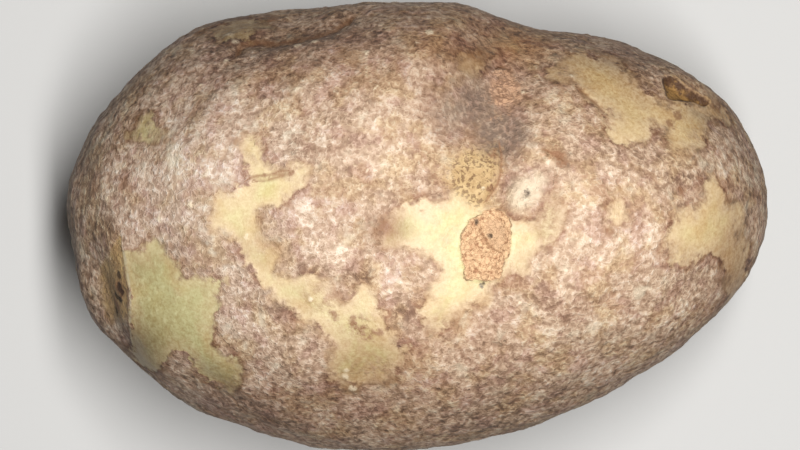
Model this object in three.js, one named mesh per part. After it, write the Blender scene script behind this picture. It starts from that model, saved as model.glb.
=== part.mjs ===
import * as THREE from "three";
import { mergeVertices } from "three/addons/utils/BufferGeometryUtils.js";

// One potato, a single solid tuber lying on its flattest side.
// Millimetres, +Z up. +X runs along the tuber to its narrower end. The origin is on the
// surface that the tuber rests on, under the middle of its box.

// Overall sizes of the tuber's box.
const length = 105.4;
const width = 67.4;
const height = 56;

// The underside is worn flat where it rests, this far up from its lowest point.
const restingCut = 0.6;

// Exponent of the upright sections: 2 is an ellipse, and a larger number is a fuller, squarer one.
const fullness = 2.2;

// How far the two ends lie below the middle of the long axis, and how far the narrow end
// lies below the blunt one.
const endDroop = 1.2;
const endTilt = 1.6;

// Grid lines of the skin along X, Y and Z.
const grid = { along: 33, across: 22, up: 18 };

// The outline seen from above, anticlockwise from the narrow end, in shares of half the
// length and half the width.
const outline = [
  [1.0, 0.07],
  [0.954, 0.356],
  [0.844, 0.588],
  [0.693, 0.742],
  [0.465, 0.831],
  [0.237, 0.914],
  [0.085, 0.979],
  [-0.066, 1.0],
  [-0.266, 0.958],
  [-0.455, 0.938],
  [-0.619, 0.875],
  [-0.778, 0.706],
  [-0.92, 0.445],
  [-0.992, 0.134],
  [-0.977, -0.208],
  [-0.873, -0.513],
  [-0.693, -0.757],
  [-0.474, -0.905],
  [-0.209, -0.997],
  [0.066, -0.985],
  [0.323, -0.896],
  [0.569, -0.727],
  [0.786, -0.51],
  [0.939, -0.223],
];

// Swellings and dents of the skin. at is the place in plan, in shares of half the length and
// half the width, on the upper side (1) or the underside (-1). heading is the direction of
// the long axis in degrees from +X. along and across are half-lengths and rise is the height
// of a swelling, or the depth of a dent where it is negative, all in millimetres.
const upper = 1;
const under = -1;
const features = [
  { name: "shoulder by the valley", at: [-0.04, 0.72], side: upper, heading: 20, along: 15, across: 9, rise: 1.8 },
  { name: "brow dent on the far flank", at: [-0.4, 0.86], side: upper, heading: 8, along: 13, across: 6, rise: -1.9 },
  { name: "valley above the main eye", at: [0.19, 0.5], side: upper, heading: 70, along: 14, across: 6.5, rise: -2.4 },
  { name: "hollow of the main eye", at: [0.19, -0.07], side: upper, heading: 85, along: 9, across: 6, rise: -1.1 },
  { name: "swelling beside the main eye", at: [0.5, -0.15], side: upper, heading: 30, along: 20, across: 13, rise: 1.2 },
  { name: "pocket of the stem-end eye", at: [-0.9, -0.26], side: upper, heading: 95, along: 8, across: 3.4, rise: -1.5 },
  { name: "lip of the stem-end eye", at: [-0.8, -0.3], side: upper, heading: 98, along: 10, across: 4, rise: 0.6 },
  { name: "broken skin at the narrow end", at: [0.77, 0.56], side: upper, heading: -25, along: 4.5, across: 2.6, rise: -1.0 },
  { name: "dip behind the narrow end", at: [0.6, 0.5], side: upper, heading: 10, along: 12, across: 7, rise: -0.9 },
  { name: "swelling of the blunt end", at: [-0.55, 0.25], side: upper, heading: 40, along: 16, across: 12, rise: 1.1 },
  { name: "eye under the narrow end", at: [0.66, 0.12], side: under, heading: 80, along: 7, across: 4.5, rise: -1.5 },
  { name: "eye under the near flank", at: [0.18, -0.72], side: under, heading: 10, along: 8, across: 5, rise: -1.6 },
  { name: "eye under the far flank", at: [-0.3, 0.7], side: under, heading: -15, along: 8, across: 5, rise: -1.5 },
  { name: "eye under the blunt end", at: [-0.68, -0.3], side: under, heading: 75, along: 7, across: 4.5, rise: -1.3 },
  { name: "swelling of the near flank", at: [-0.3, -0.8], side: under, heading: 0, along: 18, across: 9, rise: 1.2 },
];

const half = { x: length / 2, y: width / 2, z: height / 2 };

// The outline as a closed smooth curve, and its radius by direction, both in the shares
// that the outline's points are given in.
const outlineSteps = 720;
const outlineCurve = new THREE.CatmullRomCurve3(
  outline.map(([u, v]) => new THREE.Vector3(u, v, 0)),
  true,
);
const outlinePolar = outlineCurve
  .getPoints(outlineSteps)
  .slice(0, outlineSteps)
  .map((p) => ({ turn: Math.atan2(p.y, p.x), radius: Math.hypot(p.x, p.y) }))
  .sort((p, q) => p.turn - q.turn);

function outlineRadius(turn) {
  const after = outlinePolar.findIndex((p) => p.turn > turn);
  const next = outlinePolar[after < 0 ? 0 : after];
  const last = outlinePolar[(after <= 0 ? outlineSteps : after) - 1];
  const fullTurn = 2 * Math.PI;
  const span = (next.turn - last.turn + fullTurn) % fullTurn;
  const share = ((turn - last.turn + fullTurn) % fullTurn) / span;
  return THREE.MathUtils.lerp(last.radius, next.radius, share);
}

// A point of the plain body, before its swellings and dents. level is -1 at the bottom, 0 at
// the widest line and 1 at the top, and turn is the direction in plan.
function bodyPoint(turn, level) {
  const power = 2 / fullness;
  const reach = outlineRadius(turn) * Math.sqrt(1 - level * level) ** power;
  const u = reach * Math.cos(turn);
  const v = reach * Math.sin(turn);
  const w = Math.sign(level) * Math.abs(level) ** power;
  const droop = endDroop * u * u + (endTilt / 2) * u;
  return new THREE.Vector3(half.x * u, half.y * v, half.z * w - droop);
}

// The outward direction of a plain ellipsoid of the tuber's size at that point.
function outward(point) {
  const { x, y, z } = half;
  return new THREE.Vector3(point.x / x ** 2, point.y / y ** 2, point.z / z ** 2).normalize();
}

// The centre and the three axes of a swelling or dent, on the plain body.
function placed(feature) {
  const [u, v] = feature.at;
  const turn = Math.atan2(v, u);
  const reach = Math.hypot(u, v) / outlineRadius(turn);
  const level = feature.side * Math.sqrt(1 - reach ** fullness);
  const centre = bodyPoint(turn, level);
  const normal = outward(centre);
  const heading = THREE.MathUtils.degToRad(feature.heading);
  const longways = new THREE.Vector3(Math.cos(heading), Math.sin(heading), 0)
    .projectOnPlane(normal)
    .normalize();
  const sideways = new THREE.Vector3().crossVectors(normal, longways);
  return { ...feature, centre, normal, longways, sideways };
}

const placedFeatures = features.map(placed);

// How much of a feature's rise is left at a point: a bell that is 1 at its centre.
function bell(point, feature) {
  const away = point.clone().sub(feature.centre);
  const along = away.dot(feature.longways) / feature.along;
  const across = away.dot(feature.sideways) / feature.across;
  const deep = away.dot(feature.normal) / feature.along;
  return Math.exp(-(along ** 2 + across ** 2 + deep ** 2));
}

// A point of the skin in the given direction from the middle of the tuber.
function skinPoint(direction) {
  const turn = Math.atan2(direction.y, direction.x);
  const point = bodyPoint(turn, direction.z);
  const rise = placedFeatures.reduce((sum, f) => sum + f.rise * bell(point, f), 0);
  return point.addScaledVector(outward(point), rise);
}

// The skin: a box's grid, blown up to the tuber's form and scaled to its overall sizes.
function skinGeometry() {
  const box = new THREE.BoxGeometry(2, 2, 2, grid.along, grid.across, grid.up);
  box.deleteAttribute("normal");
  box.deleteAttribute("uv");
  const skin = mergeVertices(box);
  const position = skin.getAttribute("position");
  const corner = new THREE.Vector3();
  const evenly = (share) => Math.tan((share * Math.PI) / 4);
  for (let i = 0; i < position.count; i++) {
    corner.fromBufferAttribute(position, i);
    corner.set(evenly(corner.x), evenly(corner.y), evenly(corner.z)).normalize();
    position.setXYZ(i, ...skinPoint(corner));
  }
  return fitted(skin);
}

// Brings the skin to its overall sizes, over the origin, with its underside cut flat.
function fitted(skin) {
  skin.computeBoundingBox();
  const size = skin.boundingBox.getSize(new THREE.Vector3());
  const middle = skin.boundingBox.getCenter(new THREE.Vector3());
  skin.translate(-middle.x, -middle.y, -skin.boundingBox.min.z);
  skin.scale(length / size.x, width / size.y, (height + restingCut) / size.z);
  const position = skin.getAttribute("position");
  for (let i = 0; i < position.count; i++) {
    position.setZ(i, Math.max(position.getZ(i) - restingCut, 0));
  }
  return skin;
}

const skinColour = new THREE.Color(0xb69b82);
const potato = new THREE.Mesh(
  skinGeometry(),
  new THREE.MeshStandardMaterial({ color: skinColour, roughness: 0.72, metalness: 0 }),
);
potato.name = "potato";

const tuber = new THREE.Group();
tuber.add(potato);

export default tuber;
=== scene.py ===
import math
from types import SimpleNamespace

import bpy
import numpy as np
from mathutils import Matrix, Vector


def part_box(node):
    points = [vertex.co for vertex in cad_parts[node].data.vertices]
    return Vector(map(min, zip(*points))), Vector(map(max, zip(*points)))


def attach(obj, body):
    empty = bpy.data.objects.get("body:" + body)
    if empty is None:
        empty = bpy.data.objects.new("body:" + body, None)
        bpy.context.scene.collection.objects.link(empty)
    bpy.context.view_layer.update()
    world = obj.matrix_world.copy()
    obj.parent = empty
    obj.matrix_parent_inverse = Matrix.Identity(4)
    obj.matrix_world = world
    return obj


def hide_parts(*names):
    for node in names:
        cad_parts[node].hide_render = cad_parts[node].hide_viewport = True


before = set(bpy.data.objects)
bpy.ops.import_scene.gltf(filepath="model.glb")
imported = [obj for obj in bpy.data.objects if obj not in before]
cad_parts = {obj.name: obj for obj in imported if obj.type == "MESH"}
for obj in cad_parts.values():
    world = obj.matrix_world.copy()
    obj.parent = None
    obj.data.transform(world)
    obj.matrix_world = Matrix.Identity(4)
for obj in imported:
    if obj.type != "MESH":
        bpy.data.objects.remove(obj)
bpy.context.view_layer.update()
print("frame loaded")

mm = 0.001
boxLow, boxHigh = (np.array(corner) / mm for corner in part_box("potato"))
boxSize = boxHigh - boxLow

# where the marks are set out from, in millimetres: a plan seen from this far above the
# tuber's middle, which is also where the camera stands
sight = {"x": -2.55, "y": 0.1, "above": 600.0, "middle": boxSize[2] / 2}

# distances to a mark are worked out no further than this, in millimetres, either way
far = 6.0
nearlyFar = 5.9


# small sums that the skin is made from

# s = (value - low) / (high - low) held between 0 and 1, then 3 s^2 - 2 s^3
def smoothStep(value, low, high):
    share = np.clip((value - low) / (high - low), 0, 1)
    return share * share * (3 - 2 * share)


# exp(-(value / reach)^2)
def hump(value, reach):
    return np.exp(-((value / reach) ** 2))


# sum of cosines of waves in random directions, their lengths near size: mean 0, spread 1
def ripple(place, size, seed, waves=40):
    dice = np.random.default_rng(seed)
    heading = dice.normal(size=(waves, 3))
    heading /= np.linalg.norm(heading, axis=1, keepdims=True)
    pitch = size * dice.uniform(0.75, 1.35, waves)[:, None]
    phase = dice.uniform(0, 2 * math.pi, waves)
    return np.cos(place @ (heading / pitch).T * 2 * math.pi + phase).sum(1) * math.sqrt(2 / waves)


# a smooth line through the points: on each span a cubic with the two end points and the
# tangents of a Catmull-Rom curve whose knots are spaced by the root of the distance
def smoothLine(points, closed=False, steps=6):
    p = np.array(points, float)
    if closed:
        ring = np.vstack([p[-1:], p, p[:2]])
    else:
        ring = np.vstack([2 * p[:1] - p[1:2], p, 2 * p[-1:] - p[-2:-1]])
    a, b, c, d = ring[:-3], ring[1:-2], ring[2:-1], ring[3:]
    ab, bc, cd = (np.sqrt(np.linalg.norm(n - m, axis=1))[:, None] for m, n in ((a, b), (b, c), (c, d)))
    leave = ((b - a) / ab - (c - a) / (ab + bc) + (c - b) / bc) * bc
    arrive = ((c - b) / bc - (d - b) / (bc + cd) + (d - c) / cd) * bc
    t = np.linspace(0, 1, steps, endpoint=False)[:, None, None]
    line = (2 * t**3 - 3 * t**2 + 1) * b + (t**3 - 2 * t**2 + t) * leave
    line = line + (3 * t**2 - 2 * t**3) * c + (t**3 - t**2) * arrive
    line = line.transpose(1, 0, 2).reshape(-1, p.shape[1])
    return line if closed else np.vstack([line, p[-1:]])


# distance from each place of the plan to a closed outline, positive inside it, and no more
# than far either way
def insideOf(points, x, y):
    line = smoothLine(points, closed=True)
    low, high = line.min(0) - far, line.max(0) + far
    close = (x > low[0]) & (x < high[0]) & (y > low[1]) & (y < high[1])
    px, py = x[close], y[close]
    nearest = np.full(px.shape, far)
    inside = np.zeros(px.shape, bool)
    for (ax, ay), (bx, by) in zip(line, np.roll(line, -1, 0)):
        dx, dy = bx - ax, by - ay
        share = np.clip(((px - ax) * dx + (py - ay) * dy) / (dx * dx + dy * dy + 1e-12), 0, 1)
        nearest = np.minimum(nearest, np.hypot(px - ax - share * dx, py - ay - share * dy))
        if ay != by:
            inside ^= ((ay > py) != (by > py)) & (px < dx * (py - ay) / dy + ax)
    distance = np.full(x.shape, -far)
    distance[close] = np.where(inside, nearest, -nearest)
    return distance


# distance across an open line, positive on its left, divided by a share that falls to 0
# at the line's two ends, so that a band drawn on it runs out in a point
def acrossLine(points, x, y, fade=1.5):
    line = smoothLine(points)
    pieces = np.linalg.norm(np.diff(line, axis=0), axis=1)
    run = np.concatenate([[0], np.cumsum(pieces)])
    low, high = line.min(0) - far, line.max(0) + far
    close = (x > low[0]) & (x < high[0]) & (y > low[1]) & (y < high[1])
    px, py = x[close], y[close]
    nearest = np.full(px.shape, far)
    side = np.full(px.shape, far)
    along = np.zeros(px.shape)
    for (ax, ay), (bx, by), start, size in zip(line[:-1], line[1:], run[:-1], pieces):
        dx, dy = bx - ax, by - ay
        share = np.clip(((px - ax) * dx + (py - ay) * dy) / (size * size), 0, 1)
        away = np.hypot(px - ax - share * dx, py - ay - share * dy)
        turned = np.sign(dx * (py - ay) - dy * (px - ax))
        closer = away < nearest
        nearest = np.where(closer, away, nearest)
        side = np.where(closer, away * turned, side)
        along = np.where(closer, start + share * size, along)
    strength = np.clip(np.minimum(along, run[-1] - along) / fade, 0.02, 1)
    across = np.full(x.shape, far)
    across[close] = np.clip(side / strength, -far, far)
    return across


# r - distance to each spot's centre, the largest of them, and no less than -far
def insideSpots(place, centres, radii):
    nearest = np.full(len(place), -far)
    for centre, radius in zip(centres, radii):
        away = np.linalg.norm(place - np.array(centre), axis=1)
        nearest = np.maximum(nearest, radius - away)
    return nearest


# the tuber's form, the same as its solid's

tuber = {
    "cells": (176, 116, 96),  # of the box that is blown up, along X, Y and Z
    "restingCut": 0.6,
    "restingSoftness": 0.12,
    "fullness": 2.2,
    "endDroop": 1.2,
    "endTilt": 1.6,
    "outline": [
        (1.0, 0.07), (0.954, 0.356), (0.844, 0.588), (0.693, 0.742), (0.465, 0.831), (0.237, 0.914),
        (0.085, 0.979), (-0.066, 1.0), (-0.266, 0.958), (-0.455, 0.938), (-0.619, 0.875),
        (-0.778, 0.706), (-0.92, 0.445), (-0.992, 0.134), (-0.977, -0.208), (-0.873, -0.513),
        (-0.693, -0.757), (-0.474, -0.905), (-0.209, -0.997), (0.066, -0.985), (0.323, -0.896),
        (0.569, -0.727), (0.786, -0.51), (0.939, -0.223),
    ],
    # u and v in shares of half the length and half the width, side 1 for the upper one, heading in
    # degrees, then in millimetres the half-lengths along and across, and the rise
    "swellings": {
        "shoulder by the valley": (-0.04, 0.72, 1, 20, 15, 9, 1.8),
        "brow dent on the far flank": (-0.4, 0.86, 1, 8, 13, 6, -1.9),
        "valley above the main eye": (0.19, 0.5, 1, 70, 14, 6.5, -2.4),
        "hollow of the main eye": (0.19, -0.07, 1, 85, 9, 6, -1.1),
        "swelling beside the main eye": (0.5, -0.15, 1, 30, 20, 13, 1.2),
        "pocket of the stem-end eye": (-0.9, -0.26, 1, 95, 8, 3.4, -1.5),
        "lip of the stem-end eye": (-0.8, -0.3, 1, 98, 10, 4, 0.6),
        "broken skin at the narrow end": (0.77, 0.56, 1, -25, 4.5, 2.6, -1.0),
        "dip behind the narrow end": (0.6, 0.5, 1, 10, 12, 7, -0.9),
        "swelling of the blunt end": (-0.55, 0.25, 1, 40, 16, 12, 1.1),
        "eye under the narrow end": (0.66, 0.12, -1, 80, 7, 4.5, -1.5),
        "eye under the near flank": (0.18, -0.72, -1, 10, 8, 5, -1.6),
        "eye under the far flank": (-0.3, 0.7, -1, -15, 8, 5, -1.5),
        "eye under the blunt end": (-0.68, -0.3, -1, 75, 7, 4.5, -1.3),
        "swelling of the near flank": (-0.3, -0.8, -1, 0, 18, 9, 1.2),
    },
}
half = boxSize / 2


# radius of the outline in each direction, in shares of half the length and half the width
def outlineRadius(turn):
    line = smoothLine(tuber["outline"], closed=True, steps=30)
    angle, radius = np.arctan2(line[:, 1], line[:, 0]), np.hypot(line[:, 0], line[:, 1])
    return np.interp(turn, angle[np.argsort(angle)], radius[np.argsort(angle)], period=2 * math.pi)


# u, v = r(turn) sqrt(1 - level^2)^(2/n) (cos turn, sin turn), w = level^(2/n) with its sign,
# point = (half x u, half y v, half z w - endDroop u^2 - endTilt u / 2)
def bodyPoints(turn, level):
    power = 2 / tuber["fullness"]
    reach = outlineRadius(turn) * np.sqrt(np.maximum(1 - level**2, 0)) ** power
    u, v = reach * np.cos(turn), reach * np.sin(turn)
    w = np.sign(level) * np.abs(level) ** power
    droop = tuber["endDroop"] * u**2 + tuber["endTilt"] / 2 * u
    return np.stack([half[0] * u, half[1] * v, half[2] * w - droop], -1)


# (x / half x^2, y / half y^2, z / half z^2) made a unit long
def outward(points):
    normal = points / half**2
    return normal / np.linalg.norm(normal, axis=-1, keepdims=True)


# a swelling's centre on the plain body, and its own axes: along, across and outward
def placedSwelling(name):
    u, v, side, heading, *_ = tuber["swellings"][name]
    turn = math.atan2(v, u)
    reach = math.hypot(u, v) / outlineRadius(np.array([turn]))[0]
    level = side * math.sqrt(1 - reach ** tuber["fullness"])
    centre = bodyPoints(np.array([turn]), np.array([level]))[0]
    normal = outward(centre)
    longways = np.array([math.cos(math.radians(heading)), math.sin(math.radians(heading)), 0])
    longways -= normal * (longways @ normal)
    longways /= np.linalg.norm(longways)
    return centre, longways, np.cross(normal, longways), normal


# rise exp(-((a/along)^2 + (b/across)^2 + (c/along)^2)), summed over the swellings
def swellingRise(points):
    total = np.zeros(len(points))
    for name, (_, _, _, _, along, across, rise) in tuber["swellings"].items():
        centre, longways, sideways, normal = placedSwelling(name)
        away = points - centre
        near = hump(away @ longways, along) * hump(away @ sideways, across) * hump(away @ normal, along)
        total += rise * near
    return total


# where each pair of the box's sides lies on the square that is baked: its start and its height
# by the sides' axis, and the rim left free round each chart
chartRows = {2: (0.0, 0.37), 1: (0.37, 0.315), 0: (0.685, 0.315)}
chartRim = 0.004


# a box's surface as six grids that share their edges, as unit directions from its middle:
# a grid line at share s lies at tan(s pi / 4), which spaces them evenly; also the quads,
# and each quad corner's place in a square of two charts across and three up
def blownUpBox(cells):
    lattice, quads, charts, count = [], [], [], 0
    for axis in (0, 1, 2):
        for end in (0, 1):
            first, second = (axis + 1) % 3, (axis + 2) % 3
            i, j = np.meshgrid(np.arange(cells[first] + 1), np.arange(cells[second] + 1), indexing="ij")
            side = np.empty(i.shape + (3,), int)
            side[..., axis], side[..., first], side[..., second] = end * cells[axis], i, j
            index = count + np.arange(i.size).reshape(i.shape)
            count += i.size
            corners = [index[:-1, :-1], index[1:, :-1], index[1:, 1:], index[:-1, 1:]]
            quads.append(np.stack(corners if end else corners[::-1], -1).reshape(-1, 4))
            across, up = i / cells[first], j / cells[second]
            if axis == 1:
                across, up = up, across
            start, tall = chartRows[axis]
            across = 0.5 * end + chartRim + across * (0.5 - 2 * chartRim)
            up = start + chartRim + up * (tall - 2 * chartRim)
            charts.append(np.stack([across, up], -1).reshape(-1, 2))
            lattice.append(side.reshape(-1, 3))
    lattice, quads, charts = np.vstack(lattice), np.vstack(quads), np.vstack(charts)
    key = (lattice[:, 0] * 1000 + lattice[:, 1]) * 1000 + lattice[:, 2]
    _, kept, merged = np.unique(key, return_index=True, return_inverse=True)
    corner = np.tan((2 * lattice[kept] / np.array(cells) - 1) * math.pi / 4)
    direction = corner / np.linalg.norm(corner, axis=1, keepdims=True)
    return direction, merged[quads], charts[quads]


# scales the points to the box's size, over the origin, and with the cut still to be taken
def fitted(points):
    low, high = points.min(0), points.max(0)
    size = boxSize + np.array([0, 0, tuber["restingCut"]])
    middle = np.array([(low[0] + high[0]) / 2, (low[1] + high[1]) / 2, low[2]])
    return (points - middle) * size / (high - low)


# z - cut, held at 0 from below, with a bend of (z + s)^2 / 4s between -s and s
def restedFlat(points):
    z, s = points[:, 2] - tuber["restingCut"], tuber["restingSoftness"]
    bent = np.where(z < -s, 0, np.where(z > s, z, (z + s) ** 2 / (4 * s)))
    return np.stack([points[:, 0], points[:, 1], bent], -1)


# the marks of the skin, in millimetres on the plan

healthyPatches = {
    "stem end": {
        "green": 1.0,
        "ochre": 0.0,
        "outline": [
            (-44.7, -4.3), (-43.2, -4.0), (-41.5, -3.7), (-39.9, -2.4), (-38.7, -3.5), (-37.0, -5.5),
            (-35.4, -8.1), (-33.6, -7.7), (-30.4, -8.0), (-29.3, -9.5), (-30.2, -11.2),
            (-30.9, -14.3), (-31.2, -17.0), (-29.9, -18.6), (-27.9, -20.2), (-26.5, -22.6),
            (-27.5, -24.7), (-31.0, -24.0), (-33.0, -21.4), (-35.4, -19.1), (-37.2, -19.0),
            (-38.6, -20.6), (-39.3, -22.4), (-41.0, -21.4), (-42.9, -19.8), (-43.4, -14.7),
            (-43.7, -9.9),
        ],
    },
    "diagonal": {
        "green": 0.15,
        "ochre": 0.15,
        "outline": [
            (-25.7, 14.0), (-23.6, 13.2), (-23.4, 10.9), (-22.4, 9.0), (-20.8, 7.6), (-18.4, 8.5),
            (-17.0, 8.2), (-17.3, 5.6), (-19.7, 4.2), (-20.8, 2.4), (-23.0, 1.8), (-24.5, 0.3),
            (-23.8, -1.9), (-21.8, -2.9), (-21.3, -4.9), (-21.5, -7.1), (-19.4, -8.3), (-16.0, -7.8),
            (-13.9, -8.8), (-12.6, -10.9), (-11.0, -12.0), (-9.9, -10.9), (-8.1, -10.1),
            (-6.2, -11.2), (-5.5, -13.3), (-5.1, -15.6), (-3.6, -17.2), (-1.4, -18.4), (-2.2, -20.8),
            (-3.8, -22.3), (-6.3, -23.2), (-9.1, -23.7), (-11.9, -23.7), (-13.4, -22.2),
            (-13.5, -19.9), (-13.2, -17.6), (-14.6, -15.6), (-17.4, -14.0), (-19.1, -12.6),
            (-21.0, -11.0), (-23.0, -9.0), (-24.6, -7.1), (-26.3, -4.9), (-27.7, -2.9), (-29.3, -1.7),
            (-31.0, -0.2), (-31.3, 1.9), (-30.2, 4.3), (-28.4, 3.8), (-26.7, 5.1), (-25.3, 6.4),
            (-26.0, 7.9), (-26.6, 9.7), (-26.3, 11.8),
        ],
    },
    "round the main eye": {
        "green": 0.0,
        "ochre": 0.0,
        "outline": [
            (-2.7, 2.6), (-1.5, 3.1), (0.9, 2.7), (3.2, 3.4), (4.7, 4.9), (6.4, 5.4), (8.2, 4.2),
            (9.6, 2.9), (12.0, 2.6), (13.9, 1.4), (15.6, 0.7), (17.3, 1.2), (18.8, 2.4), (19.6, 4.7),
            (20.7, 5.0), (21.2, 2.4), (20.9, -1.2), (19.6, -3.1), (17.6, -3.4), (16.2, -4.2),
            (15.8, -5.7), (15.9, -7.0), (14.2, -7.6), (12.5, -8.6), (11.1, -9.4), (10.9, -10.9),
            (8.7, -12.0), (6.8, -12.4), (5.8, -13.5), (5.0, -14.8), (3.6, -16.2), (2.0, -15.2),
            (0.6, -14.4), (-0.1, -13.1), (0.8, -11.8), (2.1, -10.5), (2.6, -8.8), (2.7, -7.0),
            (2.3, -5.2), (1.1, -4.0), (-1.1, -3.3), (-3.1, -3.1), (-5.2, -3.1), (-5.1, -1.3),
            (-5.6, 0.1), (-4.8, 1.3),
        ],
    },
    "narrow end": {
        "green": 0.0,
        "ochre": 0.6,
        "outline": [
            (37.6, -3.7), (37.8, -1.8), (38.3, 0.3), (39.3, 1.8), (41.3, 1.9), (42.6, 3.0),
            (43.1, 4.9), (43.9, 6.8), (45.0, 5.6), (46.4, 3.3), (48.1, 2.7), (48.8, 0.3),
            (49.1, -2.3), (49.3, -4.9), (48.8, -7.6), (48.1, -10.4), (47.6, -13.3), (46.9, -15.2),
            (46.0, -13.3), (46.2, -10.4), (46.2, -8.0), (45.7, -5.5), (44.3, -4.1), (42.4, -4.7),
            (40.9, -6.1), (39.2, -6.6), (38.0, -5.6),
        ],
    },
    "far flank": {
        "green": 0.15,
        "ochre": 1.0,
        "outline": [
            (19.9, 23.8), (23.2, 24.7), (26.3, 25.4), (29.4, 24.7), (31.1, 23.0), (32.3, 21.1),
            (33.8, 19.8), (36.1, 18.5), (38.8, 17.8), (41.4, 17.2), (43.6, 17.4), (45.7, 17.1),
            (47.9, 15.9), (47.1, 14.9), (44.8, 15.8), (43.2, 14.4), (42.4, 12.5), (40.7, 11.1),
            (38.5, 11.6), (37.6, 13.5), (35.2, 14.1), (33.8, 12.5), (31.4, 12.0), (29.5, 12.5),
            (29.0, 14.0), (29.7, 15.9), (28.0, 17.3), (26.1, 18.6), (24.2, 19.9), (22.5, 21.1),
            (20.6, 21.8), (19.4, 22.8),
        ],
    },
    "fleck beside the ring spot": {
        "green": 0.0,
        "ochre": 0.5,
        "outline": [(29.2, 3.2), (30.6, 3.9), (31.8, 2.9), (31.5, 1.0), (30.3, 0.2), (29.2, 1.1)],
    },
    "above the stem end": {
        "green": 1.0,
        "ochre": 0.3,
        "outline": [
            (-43.6, 12.6), (-42.6, 15.2), (-40.6, 16.2), (-39.2, 15.0), (-39.6, 13.0), (-41.6, 12.0),
        ],
    },
    "far brow": {
        "green": 0.9,
        "ochre": 0.4,
        "outline": [
            (-32.2, 27.6), (-29.6, 29.7), (-26.2, 30.7), (-23.2, 30.5), (-22.0, 29.3), (-24.8, 28.7),
            (-28.6, 28.0),
        ],
    },
    "above the blotch": {
        "green": 0.2,
        "ochre": 1.0,
        "outline": [(6.1, 25.0), (8.2, 25.4), (9.6, 24.4), (9.2, 22.9), (7.4, 22.8), (6.2, 23.6)],
    },
}

mainEye = {
    "crust": [
        (6.3, -3.6), (6.5, -1.7), (7.1, -0.7), (7.8, 0.8), (9.1, 1.2), (9.8, 2.1), (10.9, 2.4),
        (12.3, 2.2), (13.5, 1.2), (13.9, -0.5), (13.9, -2.7), (13.7, -4.4), (13.1, -5.3),
        (12.7, -6.5), (12.4, -8.0), (11.0, -8.5), (9.0, -8.3), (7.2, -8.1), (7.0, -6.5), (6.5, -5.2),
    ],
    "dish": [
        (9.9, 0.4), (11.3, 1.0), (12.8, 0.4), (13.2, -1.4), (12.9, -3.6), (11.7, -3.9), (10.3, -2.7),
    ],
    "furrow": [(9.5, 0.5), (9.4, -0.8), (9.8, -1.9), (10.6, -3.0), (11.6, -3.8), (12.9, -4.2)],
    "bud": (10.7, -1.7),
    "crustRise": 0.22,
    "rimRise": 0.16,
    "wartRise": 0.07,
    "wartSize": 1.5,
    "dishDepth": 0.3,
    "budRise": 0.4,
    "budReach": 0.7,
}

pepperSkin = [
    (5.0, 9.7), (7.1, 11.2), (9.8, 11.6), (12.1, 12.4), (12.5, 9.0), (12.2, 6.5), (11.2, 4.2),
    (10.0, 2.4), (8.2, 2.5), (6.2, 3.8), (4.4, 5.8), (4.0, 8.0),
]

wound = {
    "outline": [
        (36.7, 21.6), (37.8, 21.9), (39.0, 21.1), (40.0, 19.9), (41.4, 19.2), (42.8, 18.7),
        (43.8, 18.1), (43.1, 17.5), (41.4, 17.9), (39.5, 18.2), (37.6, 18.6), (37.1, 19.9),
    ],
    "depth": 0.9,
    "rimRise": 0.25,
}

ringSpot = {
    "outline": [
        (13.6, 5.0), (14.4, 6.6), (16.0, 7.3), (18.3, 7.9), (19.5, 7.0), (19.2, 5.2), (18.0, 3.2),
        (16.2, 1.9), (14.7, 1.8), (13.7, 3.2),
    ],
    "rise": 0.14,
    "moatDepth": 0.1,
}

# lines of the skin: each with its points, how deep its groove is, its half-width, how much
# higher the skin stands on its left than on its right, and whether its bottom is painted dark, partly
# its own brown and partly painted shade
skinLines = {
    "fold": (
        [(12.1, 13.0), (12.6, 10.6), (12.6, 8.8), (12.4, 7.2), (11.7, 5.6), (10.6, 4.0), (9.6, 2.9)],
        0.45, 0.45, -0.5, True,
    ),
    "furrow": (mainEye["furrow"], 0.4, 0.35, 0.0, True),
    "crack": (
        [(-26.4, 6.2), (-25.3, 7.0), (-22.6, 7.4), (-20.9, 7.9), (-18.9, 8.1)],
        0.12, 0.22, 0.0, True,
    ),
    "lower crack": (
        [(-25.2, 6.2), (-24.2, 6.5), (-22.4, 6.7), (-20.6, 7.2), (-19.2, 7.8)],
        0.1, 0.2, 0.0, True,
    ),
    "valley": (
        [(-28.2, 25.2), (-26.4, 27.3), (-21.6, 27.6), (-17.2, 28.0), (-13.7, 28.8), (-9.4, 30.9)],
        0.55, 0.8, 0.4, True,
    ),
    "russet brow": (
        [(11.3, 23.1), (12.0, 23.8), (13.0, 23.9), (14.2, 23.1)],
        0.35, 0.3, -0.3, True,
    ),
    "crater": ([(18.5, 11.4), (19.6, 11.1), (20.9, 10.5), (22.0, 9.3)], 0.5, 0.5, 0.0, True),
    "patch brow": ([(-5.6, -3.3), (-3.1, -3.7), (-0.9, -3.8), (1.4, -4.6)], 0.12, 0.5, 0.15, False),
    "patch line": ([(23.2, 20.8), (25.4, 19.2), (27.2, 17.8), (28.6, 16.4)], 0.15, 0.35, 0.0, True),
    "blotch line": ([(14.9, 14.2), (15.4, 12.2), (15.0, 10.4)], 0.12, 0.4, 0.0, False),
}

stemPocket = {
    "lip": [
        (-44.9, -1.2), (-44.8, -2.6), (-44.4, -5.2), (-44.1, -7.4), (-43.7, -9.9), (-43.5, -12.1),
        (-43.4, -14.7), (-43.2, -17.3), (-42.9, -19.8),
    ],
    "depth": 0.35,
    "lipRise": 0.22,
    "back": (5.8, 2.4),  # behind the lip, from where to where the skin falls again
    "nearEnd": (-17, -12),  # along Y, from where to where the pocket sets in
    "blackSpots": [
        (-45.6, -7.8, 0.55), (-45.4, -9.4, 0.65), (-44.9, -10.2, 0.5), (-45.8, -10.7, 0.6),
        (-45.2, -11.3, 0.5), (-45.6, -12.9, 0.55),
    ],
    "paleSpecks": [(-46.7, -5.4, 0.4), (-46.0, -5.8, 0.3)],
}

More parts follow.
